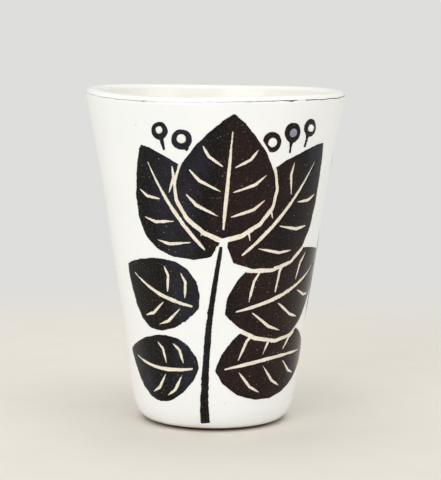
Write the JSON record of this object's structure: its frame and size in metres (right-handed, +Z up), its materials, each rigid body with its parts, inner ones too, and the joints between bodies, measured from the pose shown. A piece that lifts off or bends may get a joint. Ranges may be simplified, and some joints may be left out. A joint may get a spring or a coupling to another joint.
{
  "type": "tumbler",
  "caption": "Tapered glazed stoneware tumbler without a handle, with a cream inside, a dark rim line and black leaf decoration.",
  "frame": {"origin": "centre of the resting plane under the foot ring, at the middle of the overall box", "axes": "+Z up along the tumbler's axis; the middle of the drawing faces -Y and +X is to its viewer's right"},
  "size_m": [0.0854, 0.0854, 0.11],
  "materials": {
    "clay_body": "unglazed fired stoneware, matte",
    "white_glaze": "smooth gloss, white with a faint warm tint",
    "cream_glaze": "smooth gloss, cream",
    "dark_slip": "black-brown slip under clear glaze, gloss, with scratched lines",
    "lilac_glaze": "lilac-grey gloss"
  },
  "bodies": {
    "root": {"clay_wall": "clay_body", "clay_lower_edge": "clay_body", "clay_floor": "clay_body", "foot_ring": "clay_body", "outer_glaze": "white_glaze", "liner_glaze": "cream_glaze", "rim_line": "dark_slip", "slip_stem": "dark_slip", "slip_leaf_top": "dark_slip", "slip_leaf_upper_right": "dark_slip", "slip_leaf_upper_left": "dark_slip", "slip_leaf_middle_right": "dark_slip", "slip_leaf_middle_left": "dark_slip", "slip_leaf_lower_right": "dark_slip", "slip_leaf_lower_left": "dark_slip", "slip_leaf_side": "dark_slip", "slip_leaf_side_top": "dark_slip", "slip_berry_1": "dark_slip", "slip_berry_2": "dark_slip", "slip_berry_3": "dark_slip", "slip_berry_4": "dark_slip", "slip_berry_5": "dark_slip", "glaze_dot_1": "white_glaze", "glaze_dot_2": "lilac_glaze", "glaze_dot_3": "white_glaze", "glaze_dot_4": "white_glaze", "glaze_dot_5": "white_glaze"}
  },
  "joints": []
}
